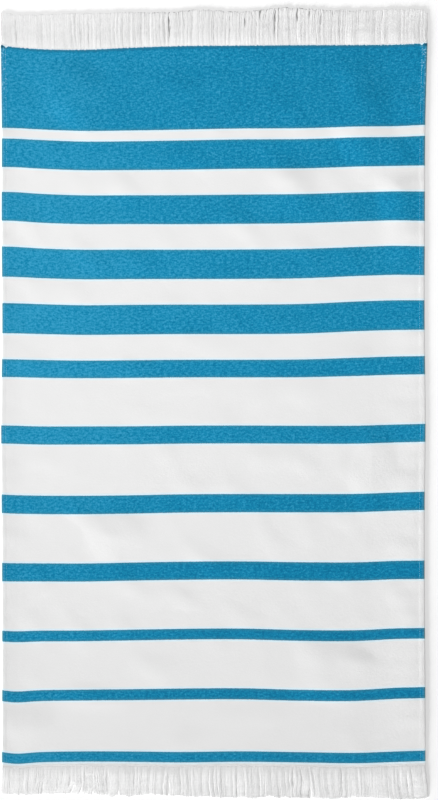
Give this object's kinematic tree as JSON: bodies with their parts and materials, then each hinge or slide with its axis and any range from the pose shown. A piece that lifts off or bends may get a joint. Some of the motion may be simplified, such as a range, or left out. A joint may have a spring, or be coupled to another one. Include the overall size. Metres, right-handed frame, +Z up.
{
  "type": "hammam towel",
  "caption": "Flat-woven cotton hammam towel laid out flat, with coloured stripes across white, narrow turned side hems and a loose fringe at each end.",
  "frame": {"origin": "middle of the towel's box, on the surface that it lies on", "axes": "+Y towards the end with the widest stripe, +X to the right with that end up, +Z up out of the towel's face"},
  "size_m": [0.9102, 1.6894, 0.0038],
  "materials": {
    "striped_cotton": "matt flat-woven cotton, mottled blue weft stripes across white",
    "white_cotton": "matt loose cotton yarn, white"
  },
  "bodies": {
    "root": {"towel_cloth": "striped_cotton", "fringe_head": "white_cotton", "fringe_foot": "white_cotton"}
  },
  "joints": []
}
